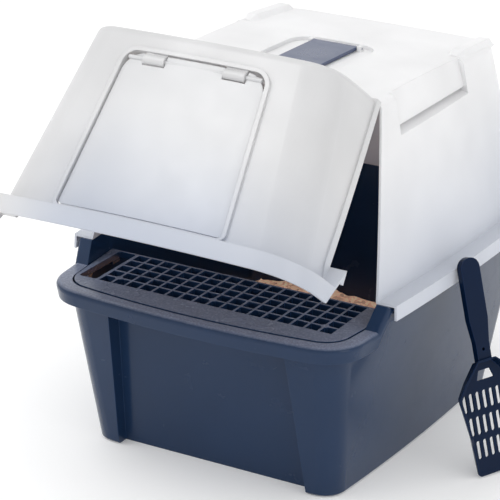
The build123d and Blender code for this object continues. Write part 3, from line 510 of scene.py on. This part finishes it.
class LITTERBOX_OT_litter(bpy.types.Operator):
    """Heap loose clay litter in the pan"""

    bl_idname = "litterbox.litter"
    bl_label = "Litter"

    def execute(self, context):
        finish = context.scene.litter_box_finish
        clay = litter_clay("litter_clay", tuple(context.scene.litter_box_colours.litter))
        bm = bmesh.new()
        bm.from_mesh(NODES["litter_bed"].data)
        bmesh.ops.remove_doubles(bm, verts=bm.verts, dist=1e-6)
        heap = new_piece("litter_heap", bm, clay, "pan")
        remesh = heap.modifiers.new("remesh", "REMESH")
        remesh.mode = "VOXEL"
        remesh.voxel_size = VOXEL
        shaped = bpy.data.meshes.new_from_object(heap.evaluated_get(context.evaluated_depsgraph_get()))
        heap.modifiers.clear()
        heap.data = shaped
        bm = bmesh.new()
        bm.from_mesh(shaped)
        bm.normal_update()
        for vert in bm.verts:
            if vert.normal.z > UPWARD:
                lumps = noise.fractal(vert.co * LUMP_SCALE, 0.8, 2.2, 3) * LUMP_HEIGHT
                grit = noise.noise(vert.co * GRIT_SCALE) * GRIT_HEIGHT
                vert.co.z += lumps + grit
        tree = BVHTree.FromBMesh(bm)
        bm.to_mesh(shaped)
        bm.free()
        for face in shaped.polygons:
            face.use_smooth = True
        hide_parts("litter_bed")
        low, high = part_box("litter_bed")
        chance = random.Random(11)
        bm = bmesh.new()
        while len(bm.verts) < CORNERS_OF_A_GRANULE * finish.granules:
            x = chance.uniform(low.x + 0.012, high.x - 0.012)
            y = chance.uniform(low.y + 0.02, high.y - 0.02)
            hit = tree.ray_cast(Vector((x, y, high.z + 0.05)), Vector((0, 0, -1)))
            if hit[0] is None or hit[1].z < UPWARD:
                continue
            size = finish.granule_size * chance.uniform(0.5, 1.4)
            turn = Matrix.Rotation(chance.uniform(0, math.tau), 4, "Z") @ Matrix.Rotation(
                chance.uniform(0, math.tau), 4, "X")
            stretch = Matrix.Diagonal((1.0, chance.uniform(0.65, 1.0), chance.uniform(0.55, 0.9), 1.0))
            place = Matrix.Translation(hit[0] + Vector((0, 0, size * 0.35))) @ turn @ stretch
            bmesh.ops.create_icosphere(bm, subdivisions=1, radius=size, matrix=place)
        new_piece("litter_granules", bm, clay, "pan")
        return {"FINISHED"}


class LITTERBOX_OT_stage(bpy.types.Operator):
    """Set the floor, the lights and the camera"""

    bl_idname = "litterbox.stage"
    bl_label = "Studio"

    def execute(self, context):
        studio = context.scene.litter_box_studio
        scene = context.scene
        bm = bmesh.new()
        bmesh.ops.create_grid(bm, x_segments=2, y_segments=2, size=FLOOR_HALF,
                              matrix=Matrix.Translation((0, 0, -FLOOR_DROP)))
        mesh = bpy.data.meshes.new("floor")
        bm.to_mesh(mesh)
        bm.free()
        paper = bpy.data.materials.new("studio_paper")
        paper.use_nodes = True
        tree = paper.node_tree
        shader = tree.nodes["Principled BSDF"]
        shader.inputs["Roughness"].default_value = 0.95
        shader.inputs["Emission Color"].default_value = (1.0, 1.0, 1.0, 1.0)
        shader.inputs["Emission Strength"].default_value = FLOOR_GLOW
        place = node(tree, "TexCoord")
        fibre = node(tree, "TexNoise", {"Scale": 60.0, "Detail": 3.0},
                     [(place.outputs["Object"], "Vector")])
        pale = node(tree, "ValToRGB", (), [(fibre.outputs["Fac"], "Fac")])
        pale.color_ramp.elements[0].color = (*[0.99 * c for c in studio.floor], 1.0)
        pale.color_ramp.elements[1].color = (*studio.floor, 1.0)
        tree.links.new(pale.outputs["Color"], shader.inputs["Base Color"])
        mesh.materials.append(paper)
        floor = bpy.data.objects.new("floor", mesh)
        scene.collection.objects.link(floor)

        world = bpy.data.worlds.new("studio")
        world.use_nodes = True
        back = world.node_tree.nodes["Background"]
        back.inputs["Color"].default_value = (1.0, 1.0, 1.0, 1.0)
        back.inputs["Strength"].default_value = studio.world
        scene.world = world

        for name, where, size, share in LIGHTS:
            light = bpy.data.lights.new(name, "AREA")
            light.size = size
            light.energy = studio.key * share
            lamp = bpy.data.objects.new(name, light)
            lamp.location = where
            lamp.rotation_mode = "QUATERNION"
            lamp.rotation_quaternion = (Vector(LIGHT_TARGET) - Vector(where)).to_track_quat("-Z", "Y")
            scene.collection.objects.link(lamp)

        flat = math.cos(CAMERA_ELEVATION)
        back_way = Vector((math.sin(CAMERA_AZIMUTH) * flat, -math.cos(CAMERA_AZIMUTH) * flat,
                           math.sin(CAMERA_ELEVATION)))
        level = Vector((math.cos(CAMERA_AZIMUTH), math.sin(CAMERA_AZIMUTH), 0))
        upright = back_way.cross(level)
        across = level * math.cos(CAMERA_ROLL) + upright * math.sin(CAMERA_ROLL)
        up = upright * math.cos(CAMERA_ROLL) - level * math.sin(CAMERA_ROLL)
        lens = bpy.data.cameras.new("camera")
        lens.lens = CAMERA_LENS
        lens.sensor_width = CAMERA_SENSOR
        lens.clip_end = 50.0
        camera = bpy.data.objects.new("camera", lens)
        camera.rotation_mode = "QUATERNION"
        camera.rotation_quaternion = Matrix((across, up, back_way)).transposed().to_quaternion()
        camera.location = CAMERA_PLACE
        scene.collection.objects.link(camera)
        scene.camera = camera
        scene.view_settings.view_transform = "Standard"
        return {"FINISHED"}


class LITTERBOX_PT_panel(bpy.types.Panel):
    """Lists the pieces, their colours and the studio"""

    bl_idname = "LITTERBOX_PT_panel"
    bl_label = "Hooded Litter Box"
    bl_space_type = "VIEW_3D"
    bl_region_type = "UI"
    bl_category = "Litter Box"

    def draw(self, context):
        layout = self.layout
        scene = context.scene
        for title, settings, names in (
            ("Colours", scene.litter_box_colours,
             ("navy", "deep_navy", "latch_navy", "white", "door_white", "litter", "behind")),
            ("Finish", scene.litter_box_finish, ("edge_radius", "grain", "granules", "granule_size")),
            ("Studio", scene.litter_box_studio, ("floor", "world", "key")),
        ):
            box = layout.box()
            box.label(text=title)
            for name in names:
                box.prop(settings, name)
        column = layout.column(align=True)
        for operator in OPERATORS:
            column.operator(operator.bl_idname)


OPERATORS = (
    LITTERBOX_OT_pan,
    LITTERBOX_OT_grate,
    LITTERBOX_OT_hoods,
    LITTERBOX_OT_door,
    LITTERBOX_OT_latch,
    LITTERBOX_OT_scoop,
    LITTERBOX_OT_litter,
    LITTERBOX_OT_stage,
)
SETTINGS = (
    ("litter_box_colours", LitterBoxColours),
    ("litter_box_finish", LitterBoxFinish),
    ("litter_box_studio", LitterBoxStudio),
)


def register():
    for name, group in SETTINGS:
        bpy.utils.register_class(group)
        setattr(bpy.types.Scene, name, PointerProperty(type=group))
    for operator in OPERATORS:
        bpy.utils.register_class(operator)
    bpy.utils.register_class(LITTERBOX_PT_panel)


def unregister():
    bpy.utils.unregister_class(LITTERBOX_PT_panel)
    for operator in reversed(OPERATORS):
        bpy.utils.unregister_class(operator)
    for name, group in reversed(SETTINGS):
        delattr(bpy.types.Scene, name)
        bpy.utils.unregister_class(group)


def main():
    register()
    bpy.ops.litterbox.pan()
    bpy.ops.litterbox.grate()
    bpy.ops.litterbox.hoods()
    bpy.ops.litterbox.door()
    bpy.ops.litterbox.latch()
    bpy.ops.litterbox.scoop()
    bpy.ops.litterbox.litter()
    bpy.ops.litterbox.stage()


if __name__ == "__main__":
    main()
